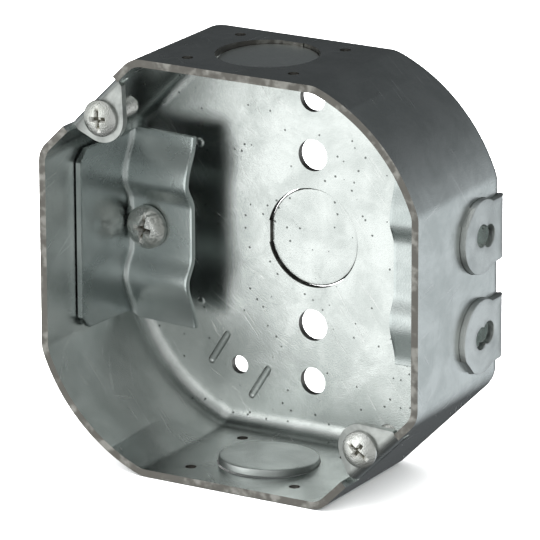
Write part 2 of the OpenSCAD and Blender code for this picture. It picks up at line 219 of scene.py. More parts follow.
# Sizes of the marks are counts to a metre; low and high are where a mask starts and is full.
zinc = dict(
    cloudSize=90.0, cloudRough=0.62, cloudWarp=0.4, cloudLow=0.33, cloudHigh=0.68,
    grainSize=2600.0, grainRough=0.6, pitSize=430.0, pitShare=0.4, pitStretch=(1.0, 0.2, 1.0),
    pitWobble=0.14, pitLeast=0.03, pitSpread=0.09,
)
scratch = dict(
    length=60.0, fineness=2400.0, share=0.5, turns=((0.35, 0.5, 0.3), (1.2, -0.4, 1.1), (-0.5, 0.2, -0.9)),
    lineLow=0.64, lineHigh=0.74, patchSize=110.0, patchLow=0.50, patchHigh=0.62,
)
rolling = dict(across=420.0, along=16.0)
wear = dict(
    speckLeast=0.1, streakGain=4.0, grainLow=0.52, grainHigh=0.72, grainDull=0.35,
    scratchTone=(0.86, 0.87, 0.86), scratchMix=0.7, pitTone=(0.17, 0.18, 0.175),
    scratchRough=0.14, cutRough=0.22, recessShadeMetal=0.8,
    scratchHeight=-0.35, pitHeight=-1.2, cloudHeight=0.08, bump=0.32,
)
cutFace = dict(tone=(0.155, 0.147, 0.135), streak=(0.33, 0.32, 0.30), low=0.46, high=0.70)
# Painted shade on the ears' flat faces: a darker, mottled grey in place of their bright reflection.
earPaintedShade = dict(low=(0.26, 0.27, 0.262), high=(0.50, 0.515, 0.50), rough=0.16)
# Painted shade inside the screws' cross recesses: near-black and less metallic.
recessPaintedShade = dict(tone=(0.045, 0.042, 0.026))
finishes = dict(
    shellSteel=dict(tone=(0.695, 0.722, 0.71), dull=(0.55, 0.58, 0.568), rough=0.13, roughSpread=0.09,
                    pits=0.85, scratches=0.7, grain=0.00014, streaks=0.12, grainSize=4600.0),
    discSteel=dict(tone=(0.72, 0.75, 0.74), dull=(0.60, 0.63, 0.62), rough=0.36, roughSpread=0.08,
                   pits=0.40, scratches=0.35, grain=0.00020, streaks=0.12),
    clampSteel=dict(tone=(0.62, 0.66, 0.655), dull=(0.50, 0.545, 0.54), rough=0.20, roughSpread=0.08,
                    pits=0.08, scratches=0.12, grain=0.00012, streaks=0.15),
    slugSteel=dict(tone=(0.74, 0.765, 0.75), dull=(0.58, 0.605, 0.595), rough=0.28, roughSpread=0.12,
                   pits=0.30, scratches=0.5, grain=0.0003, streaks=0.10),
    clampScrewZinc=dict(tone=(0.78, 0.79, 0.77), dull=(0.45, 0.46, 0.43), rough=0.22, roughSpread=0.16,
                        pits=0.9, scratches=0.8, grain=0.0016, streaks=0.0, grainSize=1000.0),
    screwZinc=dict(tone=(0.86, 0.865, 0.845), dull=(0.62, 0.625, 0.59), rough=0.13, roughSpread=0.12,
                   pits=0.4, scratches=0.3, grain=0.0003, streaks=0.0),
)


def newGroup(name, inputs, outputs):
    group = bpy.data.node_groups.new(name, "ShaderNodeTree")
    for socketName, value in inputs.items():
        socket = group.interface.new_socket(socketName, in_out="INPUT", socket_type="NodeSocketFloat")
        socket.default_value = value
    for socketName in outputs:
        group.interface.new_socket(socketName, in_out="OUTPUT", socket_type="NodeSocketFloat")
    return group, group.nodes.new("NodeGroupInput").outputs, group.nodes.new("NodeGroupOutput")


# Hot-dip zinc: cloudy tone, fine grain, and small dark pits scattered one to a cell.
def buildZincGroup(s):
    group, given, out = newGroup("zincSkin", {
        "Cloud size": s["cloudSize"], "Grain size": s["grainSize"], "Pit size": s["pitSize"],
        "Pit share": s["pitShare"],
    }, ["Cloud", "Grain", "Pits"])
    place = objectPlace(group)
    cloud = noise(group, place, given["Cloud size"], 5.0,
                  {"Roughness": s["cloudRough"], "Distortion": s["cloudWarp"]})
    grain = noise(group, place, given["Grain size"], 2.0, {"Roughness": s["grainRough"]})
    cells = put(group, "ShaderNodeTexVoronoi", {
        "Vector": stretched(group, place, s["pitStretch"]), "Scale": given["Pit size"],
    })
    wobble = times(group, doMath(group, "SUBTRACT", grain, 0.5), s["pitWobble"])
    draw = put(group, "ShaderNodeSeparateColor", {0: cells.outputs["Color"]})
    size = plus(group, times(group, draw.outputs[1], s["pitSpread"]), s["pitLeast"])
    near = doMath(group, "LESS_THAN", plus(group, cells.outputs["Distance"], wobble), size)
    chosen = doMath(group, "LESS_THAN", draw.outputs[0], given["Pit share"])
    group.links.new(ramp(group, cloud, s["cloudLow"], s["cloudHigh"]), out.inputs["Cloud"])
    group.links.new(grain, out.inputs["Grain"])
    group.links.new(times(group, near, chosen), out.inputs["Pits"])
    return group


# Handling scratches: noise drawn out long and thin at each of the turns, kept where it peaks.
def buildScratchGroup(s):
    group, given, out = newGroup("handlingScratches", {
        "Length": s["length"], "Fineness": s["fineness"], "Share": s["share"],
    }, ["Scratches"])
    place = objectPlace(group)
    total = None
    for turn in s["turns"]:
        turned = put(group, "ShaderNodeVectorRotate", {"Vector": place, "Rotation": turn},
                     rotation_type="EULER_XYZ").outputs[0]
        scale = put(group, "ShaderNodeCombineXYZ", {0: given["Fineness"], 1: given["Length"],
                                                    2: given["Length"]}).outputs[0]
        lines = noise(group, stretched(group, turned, scale), 1.0, 1.0)
        patch = noise(group, turned, s["patchSize"], 2.0)
        mark = times(group, ramp(group, lines, s["lineLow"], s["lineHigh"]),
                     ramp(group, patch, s["patchLow"], s["patchHigh"]))
        total = mark if total is None else doMath(group, "MAXIMUM", total, mark)
    group.links.new(times(group, total, given["Share"]), out.inputs["Scratches"])
    return group


# Rolled sheet: long soft streaks along Y.
def buildRollGroup(s):
    group, given, out = newGroup("rollingStreaks", {"Across": s["across"], "Along": s["along"]}, ["Streaks"])
    scale = put(group, "ShaderNodeCombineXYZ", {0: given["Across"], 1: given["Along"],
                                                2: given["Across"]}).outputs[0]
    lines = noise(group, stretched(group, objectPlace(group), scale), 1.0, 3.0)
    group.links.new(lines, out.inputs["Streaks"])
    return group


zincSkin = buildZincGroup(zinc)
handlingScratches = buildScratchGroup(scratch)
rollingStreaks = buildRollGroup(rolling)


def galvanised(name, s):
    made = bpy.data.materials.new(name)
    made.use_nodes = True
    tree = made.node_tree
    tree.nodes.clear()

    def mask(attribute):
        return put(tree, "ShaderNodeAttribute", attribute_name=attribute).outputs["Fac"]

    skin = put(tree, "ShaderNodeGroup", {
        "Pit share": s["pits"], "Grain size": s.get("grainSize", zinc["grainSize"]),
    }, node_tree=zincSkin)
    cloud, grain, pits = (skin.outputs[k] for k in ("Cloud", "Grain", "Pits"))
    scratches = put(tree, "ShaderNodeGroup", {"Share": s["scratches"]},
                    node_tree=handlingScratches).outputs["Scratches"]
    streaks = put(tree, "ShaderNodeGroup", node_tree=rollingStreaks).outputs["Streaks"]
    cut, recessShade, earShade = mask("cutFace"), mask("recessPaintedShade"), mask("earShade")
    share = plus(tree, times(tree, mask("specked"), 1 - wear["speckLeast"]), wear["speckLeast"])
    pits = times(tree, pits, share)
    lift = times(tree, doMath(tree, "SUBTRACT", streaks, 0.5), s["streaks"] * wear["streakGain"])
    cloudy = plus(tree, cloud, lift, clamp=True)

    colour = blend(tree, cloudy, s["dull"], s["tone"])
    grainy = ramp(tree, grain, wear["grainLow"], wear["grainHigh"])
    colour = blend(tree, times(tree, grainy, wear["grainDull"]), colour, s["dull"])
    colour = blend(tree, times(tree, scratches, wear["scratchMix"]), colour, wear["scratchTone"])
    colour = blend(tree, pits, colour, wear["pitTone"])
    sheared = blend(tree, ramp(tree, streaks, cutFace["low"], cutFace["high"]), cutFace["tone"],
                    cutFace["streak"])
    colour = blend(tree, cut, colour, sheared)
    # Painted shade: the screws' cross recesses are darkened.
    colour = blend(tree, recessShade, colour, recessPaintedShade["tone"])
    # Painted shade: the ears' flat faces are darkened to a mottled mid-grey.
    colour = blend(tree, earShade, colour, blend(tree, cloudy, earPaintedShade["low"], earPaintedShade["high"]))

    rough = plus(tree, s["rough"], times(tree, doMath(tree, "SUBTRACT", 1.0, cloudy), s["roughSpread"]))
    rough = plus(tree, rough, times(tree, scratches, wear["scratchRough"]))
    rough = plus(tree, rough, times(tree, doMath(tree, "MAXIMUM", cut, recessShade), wear["cutRough"]))
    rough = plus(tree, rough, times(tree, earShade, earPaintedShade["rough"]), clamp=True)

    height = plus(tree, grain, times(tree, scratches, wear["scratchHeight"]))
    height = plus(tree, height, times(tree, pits, wear["pitHeight"]))
    height = plus(tree, height, times(tree, cloud, wear["cloudHeight"]))
    bump = put(tree, "ShaderNodeBump", {"Height": height, "Strength": wear["bump"],
                                        "Distance": s["grain"]}).outputs[0]
    # Less metallic where the recess shade is painted.
    metal = doMath(tree, "SUBTRACT", 1.0, times(tree, recessShade, wear["recessShadeMetal"]))
    surface = put(tree, "ShaderNodeBsdfPrincipled", {
        "Base Color": colour, "Roughness": rough, "Metallic": metal, "Normal": bump,
    }).outputs[0]
    put(tree, "ShaderNodeOutputMaterial", {"Surface": surface})
    return made


steel = {name: galvanised(name, s) for name, s in finishes.items()}
print("finishes ready")

# Shapes are worked out in millimetres on the box's plan: x is width, y is up, and the third
# number is the height above the outer back face. The two distances here are in metres.
meshRules = dict(meetWithin=2e-6, sliverWithin=1e-6, bevelAngle=38.0, bevelSteps=2, smoothAngle=32.0)


# Quads between the rows and columns of a grid of points, wrapped where asked.
def gridQuads(rows, cols, wrapRows=False, wrapCols=False):
    r = np.arange(rows if wrapRows else rows - 1)[:, None]
    c = np.arange(cols if wrapCols else cols - 1)[None, :]
    up, along = (r + 1) % rows, (c + 1) % cols
    quads = np.stack([r * cols + c, r * cols + along, up * cols + along, up * cols + c], -1)
    return quads.reshape(-1, 4).tolist()


# Joins solids, each (points, faces), into one list of points and faces.
def together(*solids):
    points, faces, start = [], [], 0
    for p, f in solids:
        p = np.asarray(p, float).reshape(-1, 3)
        points.append(p)
        faces += [[i + start for i in face] for face in f]
        start += len(p)
    return np.concatenate(points), faces


# Plan to the frame, in metres: the opening faces -Y.
def upright(points):
    p = np.asarray(points, float)
    return np.stack([p[..., 0], -p[..., 2], p[..., 1]], -1) * mm


# The points of a mesh on the plan.
def planOf(mesh):
    co = np.zeros(len(mesh.vertices) * 3)
    mesh.vertices.foreach_get("co", co)
    co = co.reshape(-1, 3) / mm
    return np.stack([co[:, 0], co[:, 2], -co[:, 1]], -1)


def turnPlan(points, degrees):
    a = math.radians(degrees)
    p = np.asarray(points, float)
    return np.stack([p[..., 0] * math.cos(a) - p[..., 1] * math.sin(a),
                     p[..., 0] * math.sin(a) + p[..., 1] * math.cos(a), p[..., 2]], -1)


def arc(radius, start, end, steps):
    a = np.radians(np.linspace(start, end, steps + 1))
    return np.stack([radius * np.cos(a), radius * np.sin(a)], -1)


def circle(radius, x, y, steps=48):
    return arc(radius, 0, 360, steps)[:-1] + [x, y]


# A prism of an outline between two heights; place(a, b, h) gives its points on the plan.
def prism(outline, low, high, place=lambda a, b, h: (a, b, h)):
    a, b = np.asarray(outline, float).T
    n = len(a)
    ends = [np.stack(np.broadcast_arrays(*place(a, b, np.full(n, float(h)))), -1) for h in (low, high)]
    faces = gridQuads(2, n, wrapCols=True) + [list(range(n))[::-1], list(range(n, 2 * n))]
    return np.concatenate(ends), faces


# A surface of revolution about the third axis: profile is (radius, height) from axis to axis.
def lathe(profile, steps, centre=(0.0, 0.0)):
    r, h = np.asarray(profile, float).T
    a = np.radians(np.arange(steps) * 360.0 / steps)
    points = np.stack([centre[0] + r[:, None] * np.cos(a), centre[1] + r[:, None] * np.sin(a),
                       np.broadcast_to(h[:, None], (len(r), steps))], -1)
    return points.reshape(-1, 3), gridQuads(len(r), steps, wrapCols=True)


# A closed sheet between two matching grids: both faces and the four edges.
def thickGrid(outer, inner):
    rows, cols = outer.shape[:2]
    points = np.concatenate([outer.reshape(-1, 3), inner.reshape(-1, 3)])
    n = rows * cols
    quads = gridQuads(rows, cols)
    faces = quads + [[i + n for i in q[::-1]] for q in quads]
    index = np.arange(n).reshape(rows, cols)
    loop = np.concatenate([index[0, :-1], index[:-1, -1], index[-1, :0:-1], index[:0:-1, 0]])
    after = np.roll(loop, -1)
    faces += np.stack([loop, loop + n, after + n, after], -1).tolist()
    return points, faces


# Merges points that meet and drops faces without area.
def cleanMesh(mesh, turnOut=False):
    work = bmesh.new()
    work.from_mesh(mesh)
    bmesh.ops.remove_doubles(work, verts=work.verts, dist=meshRules["meetWithin"])
    bmesh.ops.dissolve_degenerate(work, edges=work.edges, dist=meshRules["sliverWithin"])
    if turnOut:
        bmesh.ops.recalc_face_normals(work, faces=work.faces)
    work.to_mesh(mesh)
    work.free()


def newObject(name, solid):
    points, faces = solid
    mesh = bpy.data.meshes.new(name)
    mesh.from_pydata(upright(points).tolist(), [], faces)
    cleanMesh(mesh, turnOut=True)
    made = bpy.data.objects.new(name, mesh)
    bpy.context.scene.collection.objects.link(made)
    return made


def applyModifiers(made):
    graph = bpy.context.evaluated_depsgraph_get()
    mesh = bpy.data.meshes.new_from_object(made.evaluated_get(graph))
    made.modifiers.clear()
    old = made.data
    made.data = mesh
    mesh.name = made.name
    bpy.data.meshes.remove(old)


def cutWith(made, solid, operation="DIFFERENCE"):
    tool = newObject("tool", solid)
    step = made.modifiers.new("cut", "BOOLEAN")
    step.operation = operation
    step.object = tool
    step.solver = "EXACT"
    step.use_self = operation == "DIFFERENCE"
    applyModifiers(made)
    bpy.data.objects.remove(tool)


# Adds the mesh of one object to another's and drops the first.
def joinInto(made, other):
    work = bmesh.new()
    work.from_mesh(made.data)
    work.from_mesh(other.data)
    work.to_mesh(made.data)
    work.free()
    bpy.data.objects.remove(other)


# Rounds the sharp edges where a width is given, and shades smooth across gentle angles only.
def finishMesh(made, edge, smooth=meshRules["smoothAngle"]):
    cleanMesh(made.data)
    if edge:
        step = made.modifiers.new("edge", "BEVEL")
        step.width = edge * mm
        step.segments = meshRules["bevelSteps"]
        step.limit_method = "ANGLE"
        step.angle_limit = math.radians(meshRules["bevelAngle"])
        step.harden_normals = False
        step.miter_outer = "MITER_ARC"
        applyModifiers(made)
    made.data.polygons.foreach_set("use_smooth", np.ones(len(made.data.polygons), bool))
    made.data.set_sharp_from_angle(angle=math.radians(smooth))


# Marks the points of a piece with a mask from 0 to 1, worked out from where they are.
def markPoints(made, name, rule):
    layer = made.data.attributes.new(name, "FLOAT", "POINT")
    layer.data.foreach_set("value", rule(planOf(made.data)).astype(np.float32))


def setPiece(made, body, node, finish):
    made.data.materials.clear()
    made.data.materials.append(steel[finish])
    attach(made, body)
    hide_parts(node)


def titled(node):
    return node.title().replace("_", "")


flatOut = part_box("box_shell")[1].x / mm
shell = dict(
    depth=-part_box("box_shell")[0].y / mm, earWallOut=2.6, bulge=3.0, sheet=1.6, cornerR=6.0, bendR=5.4,
    innerHoles=(38.1, 7.0), outerHoles=(63.5, 6.1), groundHole=(-18.4, -31.0, 4.1),
    grooveLen=9.2, grooveW=1.7, grooveDepth=0.6, grooveApart=12.0, grooveTurn=58.0, grooveEnd=6.0,
    dimpleR=1.1, dimpleH=0.5, dimplePast=3.2, dimpleIn=3.5, bossRoot=0.8, dimpleRoot=1.0,
    collarH=1.4, collarWall=1.1, collarFlare=0.4, collarEdge=0.15, tappedR=2.135, cutReach=3.0,
    earShadeHalf=14.0, edge=0.2,
)
ear = dict(drop=2.0, baseW=15.4, tipR=5.4, inset=4.15, lean=1.2, foldR=2.4, notchW=1.2, notchBelow=0.6)
earOut = flatOut + shell["earWallOut"]
earH = shell["depth"] - ear["drop"]
notchH = earH - ear["foldR"] - ear["notchBelow"]
screwOut = earOut - ear["inset"]
earPlaces = ((135, -ear["lean"]), (315, ear["lean"]))   # turn round the plan, sideways lean

knock = dict(
    radius=11.1, proud=0.8, sideBack=20.4, backZ=0.6, tieW=4.8, tieBite=0.5, gap=0.25, tip=3.0,
    roll=0.35, burr=0.12, nailR=1.2, nailX=12.8, nailBacks=(10.0, 31.6),
)


# Outline of a knockout, with its tie as a flat end on the left.
def knockoutOutline(steps=72):
    radius, half = knock["radius"], knock["tieW"] / 2
    a = 180 - math.degrees(math.asin(half / radius))
    flat = knock["tieBite"] - radius
    return np.concatenate([arc(radius, -a, a, steps), [[flat, half], [flat, -half]]])


# A disc with a rolled-over edge on one face, clipped straight where it meets its tie.
def makeKnockout(node, place, specked, finish):
    r, t, roll, burr = knock["radius"] - knock["gap"], shell["sheet"], knock["roll"], knock["burr"]
    a = np.radians(np.linspace(0, 90, 6))
    rings = np.concatenate([
        [[0.0, t], [r * 0.5, t], [r * 0.9, t]],
        np.stack([r - roll + roll * np.sin(a), t - roll + roll * np.cos(a)], -1),
        np.stack([r - burr + burr * np.cos(a), burr - burr * np.sin(a)], -1),
        [[r * 0.9, 0.0], [r * 0.5, 0.0], [0.0, 0.0]],
    ])
    points, faces = lathe(rings, 144)
    points[:, 0] = np.maximum(points[:, 0], knock["tieBite"] - knock["radius"])
    made = newObject(titled(node) + "Disc", (place(points), faces))
    finishMesh(made, 0)
    markPoints(made, "specked", lambda p: np.full(len(p), specked))
    setPiece(made, node, node, finish)


# Tips a disc about its straight end, where its tie holds it.
def tipped(p, degrees):
    a, end = math.radians(degrees), knock["tieBite"] - knock["radius"]
    x = p[:, 0] - end
    return np.stack([end + x * math.cos(a) - p[:, 2] * math.sin(a), p[:, 1],
                     x * math.sin(a) + p[:, 2] * math.cos(a)], -1)


def sidePlace(side):
    def place(p):
        p = tipped(p, knock["tip"])
        return np.stack([p[:, 1] * side, side * (flatOut - knock["proud"] - p[:, 2]),
                         p[:, 0] + knock["sideBack"]], -1)
    return place


def backPlace(p):
    return p + [0, knock["backZ"], -knock["proud"]]


pry = dict(
    radius=8.2, z=10.9, back=12.4, tailW=14.0, cut=1.9, proud=1.4, slotLen=7.8, slotW=4.8,
    slotTilt=12.0, slotShift=1.0, gap=0.15, edge=0.22,
)


# Outline of a pry-out: x is the height above the back and y is upwards. A round end, a straight
# tail, and across the front corner a chord, or a tie of the given width.
def pryOutline(gap=0.0, steps=40, tieWidth=None):
    r, half = pry["radius"] - gap, pry["tailW"] / 2 - gap
    wide = 180 - math.degrees(math.asin(half / r))
    flat = pry["radius"] - knock["tieBite"]
    span = math.degrees(math.asin(tieWidth / 2 / r) if tieWidth else math.acos(flat / r))
    first, second = arc(r, -wide, 45 - span, steps), arc(r, 45 + span, wide, steps // 2)
    tie = np.zeros((0, 2))
    if tieWidth:
        along, across = flat / math.sqrt(2), tieWidth / 2 / math.sqrt(2)
        tie = np.array([[along + across, along - across], [along - across, along + across]])
    end = pry["cut"] + gap - pry["back"]
    return np.concatenate([first, tie, second, [[end, half], [end, -half]]]) + [pry["back"], 0]


# A point of the sheet, given its height over the back, its place up the wall and how far it is
# from the outer face: straight up the wall above the bend, and round the bend's arc below.
def layOnWall(height, up, out):
    bend = shell["bendR"]
    over = np.clip((bend - height) / bend, 0, 1)
    x = flatOut - bend + (bend + out) * np.sqrt(1 - over ** 2)
    h = np.where(height > bend, height, bend - (bend + out) * over)
    return np.stack([x, up + 0 * x, h], -1)


# A pry-out's slug: rings run from the lobed screwdriver slot out to the D outline, on both
# faces, and every point is laid on the wall and round its bend.
def makePryout(node, side, level, count=160):
    outer = pryOutline(gap=pry["gap"], steps=48)
    seat = np.array([pry["back"] - pry["slotShift"], 0.0])
    closed = np.concatenate([outer, outer[:1]]) - seat
    run = np.concatenate([[0], np.cumsum(np.hypot(*np.diff(closed, axis=0).T))])
    at = np.sort(np.concatenate([run[:-1], np.linspace(0, run[-1], count + 1)[:-1] + 1e-3]))
    rim = np.stack([np.interp(at, run, closed[:, 0]), np.interp(at, run, closed[:, 1])], -1)
    angle = np.arctan2(rim[:, 1], rim[:, 0])
    tilt = math.radians(pry["slotTilt"])
    lobe, r = (pry["slotLen"] - pry["slotW"]) / 2, pry["slotW"] / 2
    reach = lobe * np.abs(np.cos(angle - tilt)) + np.sqrt(r * r - (lobe * np.sin(angle - tilt)) ** 2)
    hole = np.stack([reach * np.cos(angle), reach * np.sin(angle)], -1)
    whole = np.hypot(*rim.T)[:, None] - np.hypot(*hole.T)[:, None]
    edge = pry["edge"]
    steps = [   # share of the way out, inset, drop below the face
        (0, 0.0, edge), (0, -0.3 * edge, 0.3 * edge), (0, -edge, 0.0), (0.35, 0.0, 0.0),
        (0.7, 0.0, 0.0), (1, edge, 0.0), (1, 0.3 * edge, 0.3 * edge), (1, 0.0, edge),
    ]
    rings = [hole + (rim - hole) * (share - np.clip(inset / whole, -0.4, 0.4)) for share, inset, _ in steps]
    flat = np.stack(rings) + seat
    drop = np.array([step[2] for step in steps])[:, None]
    top = layOnWall(flat[..., 0], flat[..., 1], -drop)
    under = layOnWall(flat[..., 0], flat[..., 1], drop * 0.5 - shell["sheet"])[::-1]
    loop = np.concatenate([top, under])
    points = loop * [side, level, 1] + [side * pry["proud"], level * pry["z"], 0]
    faces = gridQuads(len(loop), loop.shape[1], wrapRows=True, wrapCols=True)
    made = newObject("pryout" + titled(node[6:]), (points.reshape(-1, 3), faces))
    finishMesh(made, 0)
    setPiece(made, node, node, "slugSteel")


clamp = dict(
    sheet=1.2, flangeW=40.0, flangeTop=26.5, flangeCut=2.6, saddleW=43.0, saddleReach=19.5, saddleH=10.0,
    archRise=2.2, endRise=-0.8, seatHalf=5.2, archMid=11.0, screwIn=8.1, gap=0.3, headR=4.8, lean=5.0,
    foldR=1.5, edge=0.1, holeGap=0.25, holeFrom=2.0, holeTo=14.0,
    dents=((2.4, 19.5, 2.0, 0.22), (-1.6, 15.6, 1.9, 0.2)),   # y, height, radius, depth
)
leanAngle = math.radians(clamp["lean"])
flangeX = flatOut - shell["sheet"] - clamp["gap"]
clampScrewX = flatOut - shell["sheet"] - clamp["screwIn"]
saddleEndX = flatOut - shell["sheet"] - clamp["saddleReach"]
saddleDrop = (clamp["flangeTop"] - clamp["saddleH"]
              + (flangeX - clampScrewX + clamp["headR"]) * math.tan(leanAngle)) * math.cos(leanAngle)
saddleLen = (flangeX - saddleEndX - saddleDrop * math.sin(leanAngle)) / math.cos(leanAngle)


# Height of the saddle's top at the distance y from its middle: a flat seat, then an arch over
# each cable with cosine flanks.
def saddleTop(y):
    a = np.abs(y)
    base = clamp["flangeTop"] - saddleDrop
    up = np.clip((a - clamp["seatHalf"]) / (clamp["archMid"] - clamp["seatHalf"]), 0, 1)
    down = np.clip((a - clamp["archMid"]) / (clamp["saddleW"] / 2 - clamp["archMid"]), 0, 1)
    rise = clamp["archRise"] * (1 - np.cos(math.pi * up)) / 2
    return base + rise + (clamp["endRise"] - clamp["archRise"]) * (1 - np.cos(math.pi * down)) / 2


# Turns the clamp about the front edge of its flange, so that its foot comes away from the wall.
def leanIn(points):
    x, h = points[..., 0] - flangeX, points[..., 2] - clamp["flangeTop"]
    return np.stack([flangeX + x * math.cos(leanAngle) + h * math.sin(leanAngle), points[..., 1],
                     clamp["flangeTop"] - x * math.sin(leanAngle) + h * math.cos(leanAngle)], -1)


# A clamp as one bent sheet: each column runs in along the wavy saddle, round the fold and up
# the flange. The grid is the face seen from the opening; the other face is a sheet's thickness
# along the normals behind it. Each dent in the flange is a round cosine dish.
def clampSheet(columns=120):
    t, r = clamp["sheet"], clamp["foldR"]
    wallX, endX = flangeX - t, flangeX - saddleLen
    half, narrow = clamp["saddleW"] / 2, clamp["flangeW"] / 2
    v = np.linspace(-1, 1, columns + 1)
    rows = []
    for s in np.linspace(0, 1, 23):
        y = v * half
        rows.append(np.stack([endX + (wallX - r - endX) * s + 0 * y, y, saddleTop(y)], -1))
    for a in np.radians(np.linspace(0, 90, 11))[1:]:
        y = v * (half + (narrow - half) * a / (math.pi / 2))
        rows.append(np.stack([wallX - r + r * math.sin(a) + 0 * y, y,
                              saddleTop(y) + r * (1 - math.cos(a))], -1))
    y = v * narrow
    top = clamp["flangeTop"] - np.maximum(np.abs(y) - (narrow - clamp["flangeCut"]), 0)
    foot = saddleTop(y) + r
    for s in np.linspace(0, 1, 16)[1:]:
        rows.append(np.stack([wallX + 0 * y, y, foot + (top - foot) * s], -1))
    face = np.stack(rows)
    for dentY, dentH, size, deep in clamp["dents"]:
        d = np.hypot(face[..., 1] - dentY, face[..., 2] - dentH) / size
        inside = (d < 1) & (face[..., 0] > wallX - 0.01)
        face[..., 0] -= deep * np.where(inside, (1 + np.cos(math.pi * np.minimum(d, 1))) / 2, 0)
    normal = np.cross(np.gradient(face, axis=0), np.gradient(face, axis=1))
    normal /= np.linalg.norm(normal, axis=-1, keepdims=True)
    behind = face - t * normal * np.sign(normal[0, columns // 2, 2])
    return leanIn(face), leanIn(behind)


def makeClamp(node, side):
    points, faces = thickGrid(*clampSheet())
    made = newObject("cableClamp" + titled(node[12:]), (points * [side, 1, 1], faces))
    hole = circle(shell["tappedR"] + clamp["holeGap"], side * clampScrewX, 0, 40)
    cutWith(made, prism(hole, clamp["holeFrom"], clamp["holeTo"]))
    finishMesh(made, clamp["edge"], smooth=40)
    setPiece(made, "clamp" + node[11:], node, "clampSteel")


# Stations round the plan as (centre x, centre y, radius, direction): the corners are arcs
# tangent to the walls, and each bulging wall is one arc tangent to its two corner arcs.
def planStations(cornerSteps=9, softSteps=5, bulgeSteps=44):
    r = shell["cornerR"]
    x = flatOut - r
    y = math.sqrt(2) * (earOut - r) - x
    bulgeOut = earOut + shell["bulge"]
    core = bulgeOut - r
    c = (core ** 2 - x ** 2 - y ** 2) / (2 * (math.sqrt(2) * core - x - y))
    bulgeR = bulgeOut - math.sqrt(2) * c
    half = 45 - math.degrees(math.atan2(y - c, x - c))

    def run(cx, cy, radius, start, end, steps):
        a = np.linspace(start, end, steps + 1)
        return np.stack([np.full(steps + 1, cx), np.full(steps + 1, cy), np.full(steps + 1, radius), a], -1)

    side = np.concatenate([
        run(x, y, r, 0, 45 - half, softSteps),
        run(c, c, bulgeR, 45 - half, 45 + half, bulgeSteps)[1:-1],
        run(y, x, r, 45 + half, 90, softSteps),
        run(-y, x, r, 90, 135, cornerSteps),
        run(-x, y, r, 135, 180, cornerSteps),
    ])
    other = side * [-1, -1, 1, 1] + [0, 0, 0, 180]
    return np.concatenate([side, other])


# The sheet's section as (inset, height): down the outside, round the bend, then up the inside.
def wallSection(steps=10):
    bend, sheet, depth = shell["bendR"], shell["sheet"], shell["depth"]
    a = np.radians(np.linspace(0, 90, steps + 1))
    outside = np.stack([bend * (1 - np.cos(a)), bend * (1 - np.sin(a))], -1)
    inner = bend - sheet
    inside = np.stack([bend - inner * np.cos(a), bend - inner * np.sin(a)], -1)[::-1]
    return np.concatenate([[[0, depth]], outside]), np.concatenate([inside, [[sheet, depth]]])


# One skin of sheet: every section point carried round the stations at its own inset.
def plainShell():
    outside, inside = wallSection()
    section = np.concatenate([outside, inside])
    s = planStations()
    a = np.radians(s[:, 3])
    reach = s[None, :, 2] - section[:, 0, None]
    points = np.stack([s[None, :, 0] + reach * np.cos(a), s[None, :, 1] + reach * np.sin(a),
                       np.broadcast_to(section[:, 1, None], reach.shape)], -1)
    n, rings, backRing = len(s), len(section), len(outside) - 1
    skin = [q for i, q in enumerate(gridQuads(rings, n, wrapRows=True, wrapCols=True)) if i // n != backRing]
    caps = [list(range(backRing * n, backRing * n + n)), list(range((backRing + 1) * n, (backRing + 2) * n))]
    return points.reshape(-1, 3), skin + caps


# A pressed groove beside the ground hole: the lower half of a stretched ellipsoid.
def pressedGroove(side, around=32, levels=13):
    u = np.radians(np.linspace(0, 360, around + 1)[:-1])
    v = np.radians(np.linspace(-90, 90, levels))
    half, w = (shell["grooveLen"] - shell["grooveW"]) / 2, shell["grooveW"] / 2
    x, y, _ = shell["groundHole"]
    along = np.cos(v)[:, None] * np.cos(u) * w + half * np.tanh(shell["grooveEnd"] * np.cos(u))
    groove = np.stack([along, np.cos(v)[:, None] * np.sin(u) * w + side * shell["grooveApart"] / 2,
                       np.sin(v)[:, None] * shell["grooveDepth"] + 0 * along], -1)
    groove = turnPlan(groove, shell["grooveTurn"]) + [x, y, shell["sheet"]]
    caps = [list(range(around)), list(range((levels - 1) * around, levels * around))]
    return groove.reshape(-1, 3), gridQuads(levels, around, wrapCols=True) + caps


def shellCutters():
    sheet, far = shell["sheet"], shell["cutReach"]
    tools = []
    for spacing, d in (shell["innerHoles"], shell["outerHoles"]):
        tools += [prism(circle(d / 2, 0, side * spacing / 2), -far, far + sheet) for side in (-1, 1)]
    x, y, d = shell["groundHole"]
    tools.append(prism(circle(d / 2, x, y), -far, far + sheet))
    tools += [prism(circle(shell["tappedR"], side * clampScrewX, 0), -far, far + sheet) for side in (-1, 1)]
    tools.append(prism(knockoutOutline() + [0, knock["backZ"]], -far, far))
    tools += [pressedGroove(side) for side in (-1, 1)]
    # on the top and bottom walls the tie is turned towards the back
    sideOutline = knockoutOutline()[:, ::-1] + [0, knock["sideBack"]]
    slug = pryOutline(tieWidth=knock["tieW"])
    for side in (-1, 1):
        endWall = lambda a, b, h, side=side: (a * side, side * (flatOut + h), b)
        tools.append(prism(sideOutline, -far, far, endWall))
        for nailX in (-knock["nailX"], knock["nailX"]):
            tools += [prism(circle(knock["nailR"], nailX, up), -far, far, endWall)
                      for up in knock["nailBacks"]]
        for level in (-1, 1):
            sideWall = lambda a, b, h, side=side, level=level: (side * h, level * (b + pry["z"]), a)
            tools.append(prism(slug, flatOut - shell["bendR"], flatOut + far, sideWall))
    return together(*tools)


